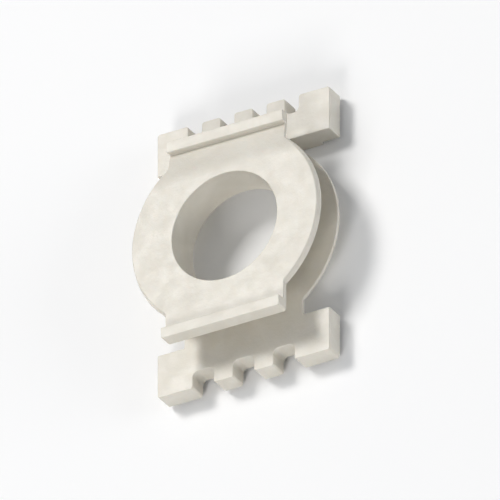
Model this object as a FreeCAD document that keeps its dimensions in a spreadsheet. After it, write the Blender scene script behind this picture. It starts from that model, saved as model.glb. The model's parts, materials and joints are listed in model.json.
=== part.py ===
import FreeCAD, Part
import math
import os
import Sketcher
from FreeCAD import Placement, Rotation, Vector

# A transformer bobbin moulded in one piece. It lies on its back with the bore
# upright: the bore axis is Z, the two slotted wire blocks stand off along +Y and -Y,
# and z = 0 is the back of the ledges that the bobbin rests on.

# Driving sizes in millimetres, and counts, one name each
SIZES = {
    "bore_diameter": 12.10,
    "barrel_wall": 0.65,
    "winding_width": 3.20,
    "flange_diameter": 21.80,
    "front_rim_bevel": 0.25,
    "front_flange_thickness": 0.62,
    "rear_flange_thickness": 0.43,
    "lower_neck_width": 13.66,
    "upper_neck_width": 13.40,
    "neck_corner_radius": 0.45,
    "core_depth": 20.60,
    "lip_length": 1.25,
    "lower_lip_rise": 0.93,
    "lower_lip_corner_radius": 0.27,
    "upper_neck_drop": 0.66,
    "upper_neck_thickness": 0.36,
    "ramp_start_gap": 0.15,
    "ramp_blend_length": 1.40,
    "block_width": 19.86,
    "block_length": 4.90,
    "block_thickness": 2.17,
    "tooth_corner_radius": 0.30,
    "slot_floor_radius": 0.62,
    "upper_slot_count": 4,
    "upper_slot_pitch": 3.727,
    "upper_slot_width": 1.56,
    "upper_slot_depth": 1.88,
    "lower_slot_count": 3,
    "lower_slot_pitch": 4.655,
    "lower_slot_width": 2.42,
    "lower_slot_depth": 1.86,
    "ledge_width": 15.66,
    "ledge_length": 1.24,
    "ledge_rise": 0.48,
}

# Places worked out from the driving sizes: first heights above the ledges' backs,
# then distances from the bore axis, then radii that are limited by their walls
PLACES = {
    "block_back": "sizes.ledge_rise",
    "rear_inner_face": "places.block_back + sizes.block_thickness",
    "rear_back": "places.rear_inner_face - sizes.rear_flange_thickness",
    "front_inner_face": "places.rear_inner_face + sizes.winding_width",
    "front_face": "places.front_inner_face + sizes.front_flange_thickness",
    "upper_neck_face": "places.front_face - sizes.upper_neck_drop",
    "upper_neck_back": "places.upper_neck_face - sizes.upper_neck_thickness",
    "bore_radius": "sizes.bore_diameter / 2",
    "barrel_radius": "places.bore_radius + sizes.barrel_wall",
    "flange_radius": "sizes.flange_diameter / 2",
    "front_rim_radius": "places.flange_radius - sizes.front_rim_bevel",
    "lower_neck_side": "sizes.lower_neck_width / 2",
    "upper_neck_side": "sizes.upper_neck_width / 2",
    "block_side": "sizes.block_width / 2",
    "ledge_side": "sizes.ledge_width / 2",
    "seat": "sizes.core_depth / 2",
    "lip_end": "places.seat + sizes.lip_length",
    "ledge_end": "places.seat + sizes.ledge_length",
    "block_end": "places.seat + sizes.block_length",
    "ramp_start": "places.bore_radius + sizes.ramp_start_gap",
    "blend_end": "places.ramp_start + sizes.ramp_blend_length",
    "web_start": "places.seat - (places.seat - places.ramp_start)"
                 " * (places.front_inner_face - places.upper_neck_back) / sizes.upper_neck_drop",
    "neck_root": "sqrt(places.flange_radius ^ 2 - places.lower_neck_side ^ 2)",
    "upper_floor": "places.block_end - sizes.upper_slot_depth",
    "lower_floor": "places.block_end - sizes.lower_slot_depth",
    "neck_straight": "places.seat - places.neck_root",
    "neck_corner_radius": "min(sizes.neck_corner_radius; 1.5 * places.neck_straight)",
    "upper_floor_radius": "min(sizes.slot_floor_radius; 0.45 * sizes.upper_slot_width)",
    "lower_floor_radius": "min(sizes.slot_floor_radius; 0.45 * sizes.lower_slot_width)",
}

# A cut's outline runs this far past the face that it opens
OVERRUN = 1.0

# Two positions closer than this are the same
SAME = 1e-4


def make_sheet(doc):
    """Keep the driving sizes in a sheet, one named cell each."""
    sheet = doc.addObject("Spreadsheet::Sheet", "sizes")
    for row, (name, value) in enumerate(SIZES.items(), start=1):
        sheet.set("A%d" % row, name)
        sheet.set("B%d" % row, str(value))
        sheet.setAlias("B%d" % row, name)
    doc.recompute()


def make_places(doc):
    """Keep each place as a named property that follows the sheet."""
    places = doc.addObject("App::VarSet", "places")
    for name, rule in PLACES.items():
        places.addProperty("App::PropertyFloat", name, "Places")
        places.setExpression(name, rule)
        doc.recompute()
    return places


def new_sketch(body, name, role, height=None):
    """A sketch on one of the body's origin planes, raised along the plane's normal."""
    plane = next(item for item in body.Origin.OriginFeatures if item.Role == role)
    sketch = body.newObject("Sketcher::SketchObject", name)
    sketch.AttachmentSupport = [(plane, "")]
    sketch.MapMode = "FlatFace"
    if height:
        sketch.AttachmentOffset = Placement(Vector(0, 0, 1), Rotation())
        sketch.setExpression("AttachmentOffset.Base.z", height)
    return sketch


def place_point(sketch, edge, end, across, up):
    """Dimension one end of an edge from the sketch's origin, across and up."""
    drawn = sketch.getPoint(edge, end)
    for kind, start, distance in (("DistanceX", drawn.x, across), ("DistanceY", drawn.y, up)):
        if distance:
            index = sketch.addConstraint(Sketcher.Constraint(kind, -1, 1, edge, end, start))
            sketch.setExpression("Constraints[%d]" % index, distance)


def draw_outline(sketch, corners):
    """A closed outline of straight edges through corners at their two distances.

    The edges start on a rough ring, and the dimensions pull the corners into place.
    """
    count = len(corners)
    turns = [2 * math.pi * step / count for step in range(count)]
    ring = [Vector(math.cos(turn), math.sin(turn), 0) for turn in turns]
    for step in range(count):
        sketch.addGeometry(Part.LineSegment(ring[step], ring[(step + 1) % count]), False)
    for step, (across, up) in enumerate(corners):
        sketch.addConstraint(Sketcher.Constraint("Coincident", step, 2, (step + 1) % count, 1))
        place_point(sketch, step, 1, across, up)


def draw_rectangle(sketch, left, right, low, high):
    draw_outline(sketch, [(left, low), (right, low), (right, high), (left, high)])


def add_pad(doc, body, name, sketch, length, both_ways=False):
    """Raise a sketch into the body by a length, or half of it each way."""
    pad = body.newObject("PartDesign::Pad", name)
    pad.Profile = sketch
    pad.SideType = "Symmetric" if both_ways else "One side"
    pad.setExpression("Length", length)
    doc.recompute()


def add_cut(doc, body, name, sketch, both_ways=False):
    """Cut a sketch down through the whole body, or both ways, and check that it cuts."""
    volume_before = body.Shape.Volume
    cut = body.newObject("PartDesign::Pocket", name)
    cut.Profile = sketch
    cut.Type = "ThroughAll"
    cut.SideType = "Symmetric" if both_ways else "One side"
    doc.recompute()
    if body.Shape.Volume > volume_before - SAME:
        raise RuntimeError(name + " cuts nothing")
    return cut


def add_row(doc, body, name, cut, count, pitch):
    """Repeat a cut along X."""
    row = body.newObject("PartDesign::LinearPattern", name)
    row.Originals = [cut]
    row.Direction = (cut.Profile[0], ["H_Axis"])
    row.setExpression("Occurrences", count)
    row.setExpression("Length", "(" + count + " - 1) * " + pitch)
    body.Tip = row
    doc.recompute()


def add_fillet(doc, body, name, radius, is_wanted):
    """Round each upright edge whose two ends both pass the test."""
    base = body.Tip
    names = []
    for number, edge in enumerate(base.Shape.Edges, start=1):
        ends = [vertex.Point for vertex in edge.Vertexes]
        upright = len(ends) == 2 and abs(ends[0].z - ends[1].z) > SAME
        if upright and all(is_wanted(end) for end in ends):
            names.append("Edge%d" % number)
    if not names:
        raise RuntimeError(name + " finds no edge")
    fillet = body.newObject("PartDesign::Fillet", name)
    fillet.Base = (base, names)
    fillet.setExpression("Radius", radius)
    doc.recompute()


def same(one, other):
    return abs(one - other) < SAME


def make_spool(doc, body):
    """The barrel between two round flanges, turned about the bore axis."""
    sketch = new_sketch(body, "spool_section", "XZ_Plane")
    draw_outline(sketch, [
        ("0", "places.rear_back"),
        ("places.flange_radius", "places.rear_back"),
        ("places.flange_radius", "places.rear_inner_face"),
        ("places.barrel_radius", "places.rear_inner_face"),
        ("places.barrel_radius", "places.front_inner_face"),
        ("places.flange_radius", "places.front_inner_face"),
        ("places.front_rim_radius", "places.front_face"),
        ("0", "places.front_face"),
    ])
    spool = body.newObject("PartDesign::Revolution", "spool")
    spool.Profile = sketch
    spool.ReferenceAxis = (sketch, ["V_Axis"])
    spool.Angle = 360
    doc.recompute()


def make_necks(doc, body, places):
    """The straight necks that carry both flanges out of the core's open sides."""
    rear = new_sketch(body, "rear_neck_outline", "XY_Plane", "places.rear_back")
    draw_rectangle(rear, "-places.lower_neck_side", "places.lower_neck_side",
                   "-places.seat", "places.seat")
    add_pad(doc, body, "rear_necks", rear, "sizes.rear_flange_thickness")

    lower = new_sketch(body, "lower_neck_outline", "XY_Plane", "places.front_inner_face")
    draw_rectangle(lower, "-places.lower_neck_side", "places.lower_neck_side",
                   "-places.lip_end", "0")
    add_pad(doc, body, "lower_neck", lower, "sizes.front_flange_thickness")

    upper = new_sketch(body, "upper_neck_outline", "XY_Plane", "places.front_inner_face")
    draw_rectangle(upper, "-places.upper_neck_side", "places.upper_neck_side",
                   "0", "places.lip_end")
    add_pad(doc, body, "upper_neck", upper, "sizes.front_flange_thickness")

    sides = (places.lower_neck_side, places.upper_neck_side)
    add_fillet(doc, body, "neck_corners", "places.neck_corner_radius",
               lambda end: any(same(abs(end.x), side) for side in sides)
               and abs(end.y) < places.seat - SAME
               and math.hypot(end.x, end.y) > places.barrel_radius + SAME)


def make_lower_lip(doc, body, places):
    """The lip that stands up across the end of the lower neck."""
    sketch = new_sketch(body, "lower_lip_outline", "XY_Plane", "places.front_face")
    draw_rectangle(sketch, "-places.lower_neck_side", "places.lower_neck_side",
                   "-places.lip_end", "-places.seat")
    add_pad(doc, body, "lower_lip", sketch, "sizes.lower_lip_rise")
    add_fillet(doc, body, "lower_lip_corners", "sizes.lower_lip_corner_radius",
               lambda end: same(end.y, -places.lip_end))


def make_upper_lip(doc, body):
    """The upper neck dips below the flange's face, which leaves its lip standing."""
    web = new_sketch(body, "upper_neck_section", "YZ_Plane")
    draw_outline(web, [
        ("places.web_start", "places.front_inner_face"),
        ("places.seat", "places.upper_neck_back"),
        ("places.lip_end", "places.upper_neck_back"),
        ("places.lip_end", "places.front_inner_face"),
    ])
    add_pad(doc, body, "upper_neck_web", web, "sizes.upper_neck_width", both_ways=True)

    ramp = new_sketch(body, "ramp_section", "YZ_Plane")
    draw_ramp(ramp)
    add_cut(doc, body, "ramp", ramp, both_ways=True)


def draw_ramp(sketch):
    """The space over the ramp: a blend that leaves the face flat, then a straight slope."""
    length = SIZES["core_depth"] / 2 - SIZES["bore_diameter"] / 2
    radius = length * length / (2 * SIZES["upper_neck_drop"])
    corners = [Vector(length, -length, 0), Vector(length, 1, 0), Vector(0, 1, 0), Vector(0, 0, 0)]
    circle = Part.Circle(Vector(0, -radius, 0), Vector(0, 0, 1), radius)
    blend = sketch.addGeometry(Part.ArcOfCircle(circle, 0.45 * math.pi, 0.5 * math.pi), False)
    start = Vector(radius * math.cos(0.45 * math.pi), radius * math.sin(0.45 * math.pi) - radius, 0)
    for corner in corners:
        sketch.addGeometry(Part.LineSegment(start, corner), False)
        start = corner
    slope, foot, top, back = range(1, 5)
    sketch.addConstraint(Sketcher.Constraint("Tangent", blend, 1, slope, 1))
    sketch.addConstraint(Sketcher.Constraint("Coincident", slope, 2, foot, 1))
    sketch.addConstraint(Sketcher.Constraint("Coincident", foot, 2, top, 1))
    sketch.addConstraint(Sketcher.Constraint("Coincident", top, 2, back, 1))
    sketch.addConstraint(Sketcher.Constraint("Coincident", back, 2, blend, 2))
    sketch.addConstraint(Sketcher.Constraint("Vertical", blend, 3, blend, 2))
    place_point(sketch, blend, 2, "places.ramp_start", "places.front_face")
    place_point(sketch, blend, 1, "places.blend_end", None)
    place_point(sketch, slope, 2, "places.seat", "places.upper_neck_face")
    place_point(sketch, foot, 2, "places.seat", "places.front_face + %g" % OVERRUN)
    place_point(sketch, top, 2, "places.ramp_start", "places.front_face + %g" % OVERRUN)


def make_block(doc, body, end, sign):
    """A wire block beyond the core, with the ledge on its back that stands on the board."""
    outline = new_sketch(body, end + "_block_outline", "XY_Plane", "places.block_back")
    near, far = sign + "places.seat", sign + "places.block_end"
    draw_rectangle(outline, "-places.block_side", "places.block_side", near, far)
    add_pad(doc, body, end + "_block", outline, "sizes.block_thickness")

    ledge = new_sketch(body, end + "_ledge_outline", "XY_Plane")
    near, far = sign + "places.seat", sign + "places.ledge_end"
    draw_rectangle(ledge, "-places.ledge_side", "places.ledge_side", near, far)
    add_pad(doc, body, end + "_ledge", ledge, "sizes.ledge_rise")


def make_slots(doc, body, places, end, sign):
    """The row of open slots that lead the wires out over a block's outer edge."""
    width = "sizes." + end + "_slot_width"
    pitch = "sizes." + end + "_slot_pitch"
    count = "sizes." + end + "_slot_count"
    first = "-(" + count + " - 1) * " + pitch + " / 2"
    sketch = new_sketch(body, end + "_slot_outline", "XY_Plane", "places.rear_inner_face")
    draw_rectangle(sketch, first + " - " + width + " / 2", first + " + " + width + " / 2",
                   sign + "places." + end + "_floor", sign + "(places.block_end + %g)" % OVERRUN)
    cut = add_cut(doc, body, end + "_slot", sketch)
    add_row(doc, body, end + "_slots", cut, count, pitch)

    floor = getattr(places, end + "_floor")
    add_fillet(doc, body, end + "_slot_floors", "places." + end + "_floor_radius",
               lambda edge_end: same(abs(edge_end.y), floor) and (edge_end.y > 0) == (sign == ""))


def make_bobbin(doc, places):
    body = doc.addObject("PartDesign::Body", "bobbin")
    body.Label = "bobbin"
    body.Placement = Placement(Vector(0, 0, 0), Rotation())
    make_spool(doc, body)
    make_necks(doc, body, places)
    make_lower_lip(doc, body, places)
    make_upper_lip(doc, body)
    for end, sign in (("upper", ""), ("lower", "-")):
        make_block(doc, body, end, sign)
        make_slots(doc, body, places, end, sign)
    add_fillet(doc, body, "tooth_corners", "sizes.tooth_corner_radius",
               lambda edge_end: same(abs(edge_end.y), places.block_end))
    bore = new_sketch(body, "bore_outline", "XY_Plane", "places.front_face")
    bore.addGeometry(Part.Circle(Vector(0, 0, 0), Vector(0, 0, 1), 1), False)
    bore.addConstraint(Sketcher.Constraint("Coincident", 0, 3, -1, 1))
    radius = bore.addConstraint(Sketcher.Constraint("Radius", 0, 1))
    bore.setExpression("Constraints[%d]" % radius, "places.bore_radius")
    add_cut(doc, body, "bore", bore)
    return body


def check(doc, body):
    """Stop before anything is written if an object failed or the piece isn't one solid."""
    for item in doc.Objects:
        if "Invalid" in item.State or "Error" in item.State:
            raise RuntimeError(item.Name + " failed")
    shape = body.Shape
    if shape.isNull() or not shape.isValid() or len(shape.Solids) != 1:
        raise RuntimeError(body.Label + " isn't one valid solid")


def main():
    doc = FreeCAD.newDocument("transformer_bobbin")
    make_sheet(doc)
    places = make_places(doc)
    body = make_bobbin(doc, places)
    doc.recompute()
    check(doc, body)
    os.makedirs("parts", exist_ok=True)
    body.Shape.exportStep("parts/" + body.Label + ".step")
    box = body.Shape.BoundBox
    print("size %.3f x %.3f x %.3f mm" % (box.XLength, box.YLength, box.ZLength))
    print("volume %.2f mm3" % body.Shape.Volume)


main()
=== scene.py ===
import json
import math

import bmesh
import bpy
from mathutils import Matrix, Vector, noise
from mathutils.geometry import intersect_point_line


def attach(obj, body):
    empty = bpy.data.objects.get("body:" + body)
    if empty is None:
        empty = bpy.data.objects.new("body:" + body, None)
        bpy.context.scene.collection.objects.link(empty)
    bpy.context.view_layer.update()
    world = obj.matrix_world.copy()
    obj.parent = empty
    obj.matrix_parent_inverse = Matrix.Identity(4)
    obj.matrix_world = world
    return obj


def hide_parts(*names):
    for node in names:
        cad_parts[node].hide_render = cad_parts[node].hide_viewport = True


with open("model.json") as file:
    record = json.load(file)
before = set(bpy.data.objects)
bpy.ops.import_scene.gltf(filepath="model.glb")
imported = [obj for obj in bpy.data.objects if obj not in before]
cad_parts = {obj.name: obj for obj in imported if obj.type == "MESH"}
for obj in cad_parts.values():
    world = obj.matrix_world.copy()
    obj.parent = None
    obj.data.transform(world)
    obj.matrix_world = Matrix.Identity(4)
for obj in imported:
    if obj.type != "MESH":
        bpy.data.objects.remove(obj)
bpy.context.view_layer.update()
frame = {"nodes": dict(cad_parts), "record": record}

MM = 0.001

# The drawing's view: the upright bobbin turned to one side and seen from below
VIEW_TURN = math.radians(30)
VIEW_TILT = math.radians(-30)

# The photograph's frame, and where the centre of the bore's front rim lies in it
PHOTO_SIDE_PX = 500
PIXEL = 0.1 * MM
BORE_PX = (224.3, 225.5)
CAMERA_DISTANCE = 0.2
CAMERA_SEES_FROM = 0.001
CAMERA_SEES_TO = 10.0

BORE = next(item for item in frame["record"]["mounts"] if item["name"] == "bore")
BORE_RADIUS = BORE["dims"]["r_mm"] * MM
BORE_LENGTH = BORE["dims"]["length_mm"] * MM

# The soft square lights: name, place, side and power in metres and watts, and colour
LIGHTS = (
    ("key", (-0.50, 0.50, 1.00), 0.36, 8.6, (1.0, 0.985, 0.965)),
    ("low", (-0.20, -1.20, 0.80), 0.46, 7.4, (1.0, 0.99, 0.98)),
    ("fill", (1.20, -0.10, 0.35), 0.50, 3.0, (0.94, 0.97, 1.0)),
)

# The pale room, and what shows beneath the floor where a low view looks under it
ROOM = (0.29, 0.30, 0.315, 1)
BELOW_FLOOR = (0.955, 0.957, 0.965, 1)

FLOOR_SIDE = 3.0
FLOOR_PAPER = (0.97, 0.97, 0.97, 1)

# Corners of the frame's mesh that are one, and faces that are one plane
WELD_DISTANCE = 0.002 * MM
FLAT_ANGLE = math.radians(0.4)

# Rounding that a moulding tool leaves on the edges that are sharper than an angle, unless
# they meet in a corner that is too narrow for it
EDGE_ROUNDING = 0.1 * MM
EDGE_STEPS = 3
SHARP_ANGLE = math.radians(24)
NARROW_CORNER = math.radians(15)

# Edges that still break the shading once they are rounded
CREASE_ANGLE = math.radians(40)
FLAT_FACE_WEIGHT = 100

# The rear flange's rim, the block's seat on its upper neck, and how far that neck reaches
# to each side in the frame and in the drawing
FLANGE_RADIUS = 10.9 * MM
SEAT = 10.3 * MM
NECK_SIDE = 6.83 * MM
TRIMMED_NECK = 5.2 * MM

# The cut from one width to the other, which follows the rim a little past the wider neck
# and then runs straight on, and the heights that it spans
TRIM_LEAD = math.radians(3)
TRIM_STEPS = 8
TRIM_REACH = 2.5 * MM
TRIM_LOW = 1.5 * MM
TRIM_HIGH = 3.4 * MM

# Round marks of the ejector pins, on the backs of the two blocks and the rear flange
BLOCK_BACK = 0.48 * MM
FLANGE_BACK = 2.22 * MM
MARK_RADIUS = 0.7 * MM
MARK_DEPTH = 0.04 * MM
MARK_SEGMENTS = 40
MARK_Y = 13.8 * MM
UPPER_MARKS_X = (-8.15 * MM, 0, 8.15 * MM)
LOWER_MARKS_X = (-7.9 * MM, -2.33 * MM, 2.33 * MM, 7.9 * MM)
FLANGE_MARKS = 4
FLANGE_MARK_RADIUS = 8.9 * MM

# Where the runner broke off, low on the left side of the lower block
GATE_PLACE = (-9.93 * MM, -12.9 * MM, 1.4 * MM)
GATE_HEIGHT = 0.07 * MM
GATE_HALF_WIDTH = 0.55 * MM
GATE_HALF_DEPTH = 0.26 * MM
GATE_CUTS = 15
GATE_LUMPS = 2.5
GATE_TORN_HEIGHT = 0.45
GATE_TORN_SIDES = 0.05
LUMP_FALLOFF = 1.0
LUMP_SPACING = 2.0
LUMP_OCTAVES = 3

# The patterns in the plastic, from slow flow clouds down to the spark-eroded grain, and
# the marks drawn along the bore, which are squeezed along its axis
FLOW = {"feature": 7 * MM, "detail": 3.0, "roughness": 0.55, "distortion": 1.6}
CLOUD = {"feature": 1.6 * MM, "detail": 4.0, "roughness": 0.6}
PEEL = {"feature": 0.42 * MM, "detail": 3.0, "roughness": 0.6}
GRAIN = {"feature": 0.13 * MM, "detail": 3.0, "roughness": 0.6}
DRAG = {"feature": 0.5 * MM, "detail": 1.0, "roughness": 0.5}
DRAG_SQUEEZE = 0.03
BORE_MARGIN = 0.02 * MM

# How far the rubbed edges and the painted shade in the corners reach, and how open a spot is
# where they start and where they are full
EDGE_WEAR = 0.12 * MM
EDGE_OPENNESS = (0.95, 0.45)
CORNER_SHADE_REACH = 0.5 * MM
CORNER_SHADE_OPENNESS = (0.95, 0.35)
OPENNESS_SAMPLES = 8

# Most of a pattern's values lie in this span
COMMON_SPAN = (0.3, 0.7)

# The plastic's colours, and for each that is laid over them the span of its pattern and
# the most that it covers
FLOW_DARK = (0.66, 0.622, 0.54, 1)
FLOW_PALE = (0.73, 0.697, 0.62, 1)
CLOUDED = (0.63, 0.588, 0.497, 1)
CLOUDED_SPAN = (0.38, 0.72)
CLOUDED_MOST = 0.35
SPECKED = (0.56, 0.515, 0.42, 1)
SPECKED_SPAN = (0.55, 0.80)
SPECKED_MOST = 0.16
RUBBED = (0.86, 0.84, 0.78, 1)
RUBBED_MOST = 0.55
# Painted shade for the concave corners: a darker colour laid where less light reaches
PAINTED_CORNER_SHADE = (0.52, 0.47, 0.37, 1)
PAINTED_CORNER_SHADE_MOST = 0.45

# How rough the clouds and the grain make the plastic, and how much smoother some parts are
CLOUD_ROUGHNESS = (0.37, 0.48)
GRAIN_ROUGHNESS = (-0.03, 0.06)
BORE_POLISH = 0.10
EDGE_POLISH = 0.08

# The height of each pattern's relief
CLOUD_RELIEF = 0.007 * MM
PEEL_RELIEF = 0.025 * MM
GRAIN_RELIEF = 0.006 * MM
DRAG_RELIEF = 0.010 * MM

# How the plastic bends light at its surface and scatters it beneath
PLASTIC_IOR = 1.55
SCATTER_SHARE = 0.15
SCATTER_RADIUS = (1.0, 0.7, 0.45)
SCATTER_SCALE = 0.35 * MM

# Places of the two inputs and the result on a mixing node, for each kind that it mixes
MIX_SOCKETS = {"RGBA": (6, 7, 2), "FLOAT": (2, 3, 0)}


def lay(x, y, z):
    """A direction on the upright bobbin, as it points once the bobbin lies on its back."""
    return Vector((x, z, -y))


def add_object(name, data):
    made = bpy.data.objects.new(name, data)
    bpy.context.scene.collection.objects.link(made)
    return made


def add_camera():
    """An orthographic camera at the drawing's view of the object."""
    sin_turn, cos_turn = math.sin(VIEW_TURN), math.cos(VIEW_TURN)
    sin_tilt, cos_tilt = math.sin(VIEW_TILT), math.cos(VIEW_TILT)
    right = lay(cos_turn, sin_turn, 0)
    up = lay(-sin_turn * sin_tilt, cos_turn * sin_tilt, cos_tilt)
    toward = lay(sin_turn * cos_tilt, -cos_turn * cos_tilt, sin_tilt)

    rim = Vector(BORE["pos_m"]) + Vector(BORE["axis"]) * BORE_LENGTH / 2
    middle = PHOTO_SIDE_PX / 2
    place = (rim + toward * CAMERA_DISTANCE
             + right * (middle - BORE_PX[0]) * PIXEL
             - up * (middle - BORE_PX[1]) * PIXEL)

    data = bpy.data.cameras.new("camera")
    data.type = "ORTHO"
    data.ortho_scale = PHOTO_SIDE_PX * PIXEL
    data.clip_start = CAMERA_SEES_FROM
    data.clip_end = CAMERA_SEES_TO
    camera = add_object("camera", data)
    turn = Matrix((right, up, toward)).transposed()
    camera.matrix_world = Matrix.Translation(place) @ turn.to_4x4()
    bpy.context.scene.camera = camera


def add_lights():
    """Soft square lights that point at the middle of the object."""
    for name, place, side, power, colour in LIGHTS:
        data = bpy.data.lights.new(name, "AREA")
        data.size = side
        data.energy = power
        data.color = colour
        light = add_object(name, data)
        light.location = place
        light.rotation_euler = (-Vector(place)).to_track_quat("-Z", "Y").to_euler()


class Nodes:
    """Short calls for building one node tree."""

    def __init__(self, tree):
        self.tree = tree

    def feed(self, node, inputs):
        """Sets each named or numbered input to a plain value, or joins it to an output."""
        for key, value in inputs.items():
            if isinstance(value, bpy.types.NodeSocket):
                self.tree.links.new(value, node.inputs[key])
            else:
                node.inputs[key].default_value = value

    def add(self, kind, inputs=None, **settings):
        node = self.tree.nodes.new(kind)
        for key, value in settings.items():
            setattr(node, key, value)
        self.feed(node, inputs or {})
        return node

    def noise(self, place, feature, detail, roughness, distortion=0.0):
        """Noise whose blotches are about one feature size across."""
        node = self.add("ShaderNodeTexNoise", {
            "Vector": place, "Scale": 1 / feature, "Detail": detail,
            "Roughness": roughness, "Distortion": distortion})
        return node.outputs["Fac"]

    def ramp(self, value, span, target=(0.0, 1.0)):
        """Carries a span of values over to a target span, and holds its ends beyond it."""
        node = self.add("ShaderNodeMapRange", {
            "Value": value, "From Min": span[0], "From Max": span[1],
            "To Min": target[0], "To Max": target[1]})
        return node.outputs["Result"]

    def mix(self, share, one, other, kind="RGBA"):
        """Goes from one colour or number to the other as the share grows."""
        first, second, result = MIX_SOCKETS[kind]
        node = self.add("ShaderNodeMix", {0: share, first: one, second: other}, data_type=kind)
        return node.outputs[result]

    def maths(self, operation, one, other):
        node = self.add("ShaderNodeMath", {0: one, 1: other}, operation=operation)
        return node.outputs[0]


def add_room():
    """A pale room above the floor, and the floor's own tone below it."""
    world = bpy.data.worlds.new("studio")
    world.use_nodes = True
    nodes = Nodes(world.node_tree)
    place = nodes.add("ShaderNodeTexCoord")
    split = nodes.add("ShaderNodeSeparateXYZ", {0: place.outputs["Generated"]})
    above = nodes.maths("GREATER_THAN", split.outputs["Z"], 0.0)
    backdrop = world.node_tree.nodes["Background"]
    nodes.feed(backdrop, {"Color": nodes.mix(above, BELOW_FLOOR, ROOM), "Strength": 1.0})
    bpy.context.scene.world = world
    bpy.context.scene.view_settings.view_transform = "Standard"


def add_floor():
    """A plain square of matt paper under the object."""
    half = FLOOR_SIDE / 2
    mesh = bpy.data.meshes.new("floor")
    mesh.from_pydata([(-half, -half, 0), (half, -half, 0), (half, half, 0), (-half, half, 0)],
                     [], [(0, 1, 2, 3)])
    floor = add_object("floor", mesh)
    material = bpy.data.materials.new("floor_paper")
    material.use_nodes = True
    shader = material.node_tree.nodes["Principled BSDF"]
    shader.inputs["Base Color"].default_value = FLOOR_PAPER
    shader.inputs["Roughness"].default_value = 1.0
    shader.inputs["Specular IOR Level"].default_value = 0.0
    mesh.materials.append(material)


def moulded_plastic():
    """Natural off-white moulding compound with a fine spark-eroded surface."""
    material = bpy.data.materials.new("moulded_plastic")
    material.use_nodes = True
    nodes = Nodes(material.node_tree)
    place = nodes.add("ShaderNodeTexCoord").outputs["Object"]

    flow = nodes.noise(place, **FLOW)
    cloud = nodes.noise(place, **CLOUD)
    peel = nodes.noise(place, **PEEL)
    grain = nodes.noise(place, **GRAIN)

    # The core pin was polished, so the bore is smoother and shows its drawing marks
    squeezed = nodes.add("ShaderNodeVectorMath", {0: place, 1: (1, 1, DRAG_SQUEEZE)},
                         operation="MULTIPLY")
    drag = nodes.noise(squeezed.outputs["Vector"], **DRAG)
    across = nodes.add("ShaderNodeVectorMath", {0: place, 1: (1, 1, 0)}, operation="MULTIPLY")
    radius = nodes.add("ShaderNodeVectorMath", {0: across.outputs["Vector"]}, operation="LENGTH")
    in_bore = nodes.maths("LESS_THAN", radius.outputs["Value"], BORE_RADIUS + BORE_MARGIN)

    # Convex edges are rubbed paler, and the concave corners are darkened with painted shade
    inside = nodes.add("ShaderNodeAmbientOcclusion", {"Distance": EDGE_WEAR},
                       samples=OPENNESS_SAMPLES, inside=True, only_local=True)
    # How enclosed each spot is, which sets where the painted corner shade goes
    corner_shade_ao = nodes.add("ShaderNodeAmbientOcclusion", {"Distance": CORNER_SHADE_REACH},
                        samples=OPENNESS_SAMPLES, only_local=True)
    edge = nodes.ramp(inside.outputs["AO"], EDGE_OPENNESS)
    corner = nodes.ramp(corner_shade_ao.outputs["AO"], CORNER_SHADE_OPENNESS)

    base = nodes.mix(nodes.ramp(flow, COMMON_SPAN), FLOW_DARK, FLOW_PALE)
    base = nodes.mix(nodes.ramp(cloud, CLOUDED_SPAN, (0.0, CLOUDED_MOST)), base, CLOUDED)
    base = nodes.mix(nodes.ramp(grain, SPECKED_SPAN, (0.0, SPECKED_MOST)), base, SPECKED)
    base = nodes.mix(nodes.maths("MULTIPLY", edge, RUBBED_MOST), base, RUBBED)
    # Painted shade: darkens the colour in the concave corners
    base = nodes.mix(nodes.maths("MULTIPLY", corner, PAINTED_CORNER_SHADE_MOST), base, PAINTED_CORNER_SHADE)

    rough = nodes.ramp(cloud, COMMON_SPAN, CLOUD_ROUGHNESS)
    rough = nodes.maths("ADD", rough, nodes.ramp(grain, COMMON_SPAN, GRAIN_ROUGHNESS))
    rough = nodes.maths("SUBTRACT", rough, nodes.maths("MULTIPLY", in_bore, BORE_POLISH))
    rough = nodes.maths("SUBTRACT", rough, nodes.maths("MULTIPLY", edge, EDGE_POLISH))

    ripple = nodes.maths("MULTIPLY", cloud, CLOUD_RELIEF)
    orange = nodes.maths("MULTIPLY", peel, PEEL_RELIEF)
    spark = nodes.maths("MULTIPLY", grain, GRAIN_RELIEF)
    marks = nodes.maths("MULTIPLY", drag, DRAG_RELIEF)
    drawn = nodes.mix(in_bore, nodes.maths("ADD", orange, spark), marks, kind="FLOAT")
    height = nodes.maths("ADD", ripple, drawn)
    bump = nodes.add("ShaderNodeBump", {"Height": height, "Strength": 1.0, "Distance": 1.0})

    shader = material.node_tree.nodes["Principled BSDF"]
    nodes.feed(shader, {"Base Color": base, "Roughness": rough,
                        "Normal": bump.outputs["Normal"]})
    shader.inputs["IOR"].default_value = PLASTIC_IOR
    shader.inputs["Subsurface Weight"].default_value = SCATTER_SHARE
    shader.inputs["Subsurface Radius"].default_value = SCATTER_RADIUS
    shader.inputs["Subsurface Scale"].default_value = SCATTER_SCALE
    return material


def join_corners(mesh):
    """Joins the corners that the frame's mesh has split, and makes its flat faces whole."""
    work = bmesh.new()
    work.from_mesh(mesh)
    bmesh.ops.remove_doubles(work, verts=work.verts, dist=WELD_DISTANCE)
    bmesh.ops.dissolve_limit(work, angle_limit=FLAT_ANGLE, verts=work.verts, edges=work.edges)
    work.to_mesh(mesh)
    work.free()


def lies_along(edge, other):
    """Whether both ends of one edge are closer to another edge than the rounding reaches."""
    start, end = (vertex.co for vertex in other.verts)
    for vertex in edge.verts:
        spot, share = intersect_point_line(vertex.co, start, end)
        nearest = start.lerp(end, min(max(share, 0), 1))
        if (vertex.co - nearest).length > EDGE_ROUNDING:
            return False
    return True


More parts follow.
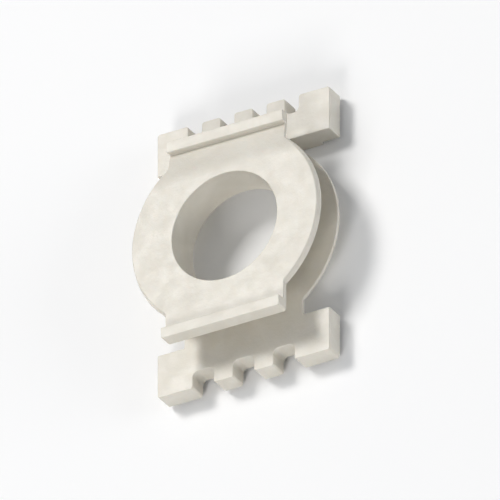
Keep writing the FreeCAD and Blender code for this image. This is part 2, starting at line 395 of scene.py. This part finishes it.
def mark_rounded_edges(mesh):
    """Marks the sharp edges for rounding, but not where two run too close together for it."""
    work = bmesh.new()
    work.from_mesh(mesh)
    weight = work.edges.layers.float.new("bevel_weight_edge")
    sharp = {edge for edge in work.edges if edge.calc_face_angle() > SHARP_ANGLE}
    narrow = set()
    for face in work.faces:
        for corner in face.loops:
            pair = {corner.edge, corner.link_loop_prev.edge}
            if pair <= sharp and corner.calc_angle() < NARROW_CORNER:
                narrow |= pair
    for edge in sharp - narrow:
        if not any(lies_along(edge, other) for other in narrow):
            edge[weight] = 1.0
    work.to_mesh(mesh)
    work.free()


def finished(work, name):
    """A new mesh of what was built."""
    mesh = bpy.data.meshes.new(name)
    work.to_mesh(mesh)
    work.free()
    return mesh


def neck_trims():
    """Prisms that cut the rear flange's upper neck back to the width in the drawing."""
    start = math.acos(TRIMMED_NECK / FLANGE_RADIUS)
    end = math.acos(NECK_SIDE / FLANGE_RADIUS) + TRIM_LEAD
    outline = [Vector((TRIMMED_NECK, SEAT))]
    for step in range(TRIM_STEPS + 1):
        turn = start + (end - start) * step / TRIM_STEPS
        outline.append(FLANGE_RADIUS * Vector((math.cos(turn), math.sin(turn))))
    tangent = Vector((math.sin(end), -math.cos(end)))
    outline.append(outline[-1] + tangent * TRIM_REACH)
    outline.append(Vector((outline[-1].x, SEAT)))

    work = bmesh.new()
    for side in (-1, 1):
        low = [work.verts.new((side * spot.x, spot.y, TRIM_LOW)) for spot in outline]
        face = work.faces.new(low)
        raised = bmesh.ops.extrude_face_region(work, geom=[face])["geom"]
        tops = [item for item in raised if isinstance(item, bmesh.types.BMVert)]
        bmesh.ops.translate(work, verts=tops, vec=(0, 0, TRIM_HIGH - TRIM_LOW))
    bmesh.ops.recalc_face_normals(work, faces=work.faces)
    return finished(work, "neck_trims")


def pin_marks():
    """Discs that sink the ejector pins' marks into the backs of the blocks and the flange."""
    places = [(x, MARK_Y, BLOCK_BACK) for x in UPPER_MARKS_X]
    places += [(x, -MARK_Y, BLOCK_BACK) for x in LOWER_MARKS_X]
    for step in range(FLANGE_MARKS):
        turn = math.tau / FLANGE_MARKS * (step + 0.5)
        places.append((FLANGE_MARK_RADIUS * math.cos(turn),
                       FLANGE_MARK_RADIUS * math.sin(turn), FLANGE_BACK))
    work = bmesh.new()
    for place in places:
        bmesh.ops.create_cone(work, cap_ends=True, segments=MARK_SEGMENTS,
                              radius1=MARK_RADIUS, radius2=MARK_RADIUS, depth=2 * MARK_DEPTH,
                              matrix=Matrix.Translation(place))
    return finished(work, "pin_marks")


def gate_stub():
    """The rough low stub left where the runner broke off the lower block's left side."""
    work = bmesh.new()
    bmesh.ops.create_cube(work, size=2.0)
    bmesh.ops.subdivide_edges(work, edges=work.edges, cuts=GATE_CUTS, use_grid_fill=True)
    for vertex in work.verts:
        torn = noise.fractal(vertex.co * GATE_LUMPS, LUMP_FALLOFF, LUMP_SPACING, LUMP_OCTAVES)
        if vertex.co.x < 0:
            vertex.co.x *= GATE_HEIGHT * (1 + GATE_TORN_HEIGHT * torn)
            shrink = 1 - GATE_TORN_SIDES * torn
            vertex.co.y *= shrink
            vertex.co.z *= shrink
        else:
            vertex.co.x *= GATE_HEIGHT
        vertex.co.y *= GATE_HALF_WIDTH
        vertex.co.z *= GATE_HALF_DEPTH
        vertex.co += Vector(GATE_PLACE)
    return finished(work, "gate_stub")


def combine(piece, tool_mesh, operation):
    """Adds a boolean step to the piece and returns the helper object that it uses."""
    tool = add_object("helper", tool_mesh)
    step = piece.modifiers.new(operation.lower(), "BOOLEAN")
    step.object = tool
    step.operation = operation
    step.solver = "EXACT"
    return tool


def apply_steps(piece, helpers):
    """Turns the piece's modifiers into its own mesh, and takes away the helper objects."""
    built = piece.evaluated_get(bpy.context.evaluated_depsgraph_get())
    mesh = bpy.data.meshes.new_from_object(built)
    piece.modifiers.clear()
    piece.data = mesh
    for helper in helpers:
        bpy.data.objects.remove(helper)


def add_moulding():
    """The bobbin itself: the frame's solid with the edges and marks that a mould leaves."""
    piece = add_object("bobbin_moulding", frame["nodes"]["bobbin"].data.copy())
    join_corners(piece.data)
    apply_steps(piece, [combine(piece, neck_trims(), "DIFFERENCE")])
    join_corners(piece.data)
    mark_rounded_edges(piece.data)

    bevel = piece.modifiers.new("edge_rounding", "BEVEL")
    bevel.limit_method = "WEIGHT"
    bevel.use_clamp_overlap = False
    bevel.width = EDGE_ROUNDING
    bevel.segments = EDGE_STEPS
    bevel.miter_outer = "MITER_ARC"
    apply_steps(piece, [combine(piece, pin_marks(), "DIFFERENCE"),
                        combine(piece, gate_stub(), "UNION")])

    mesh = piece.data
    mesh.name = "bobbin_moulding"
    mesh.materials.clear()
    mesh.materials.append(moulded_plastic())
    mesh.shade_smooth()
    mesh.set_sharp_from_angle(angle=CREASE_ANGLE)
    flatten = piece.modifiers.new("flat_faces", "WEIGHTED_NORMAL")
    flatten.weight = FLAT_FACE_WEIGHT
    flatten.keep_sharp = True

    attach(piece, "root")
    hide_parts("bobbin")


add_camera()
add_lights()
add_room()
add_floor()
add_moulding()
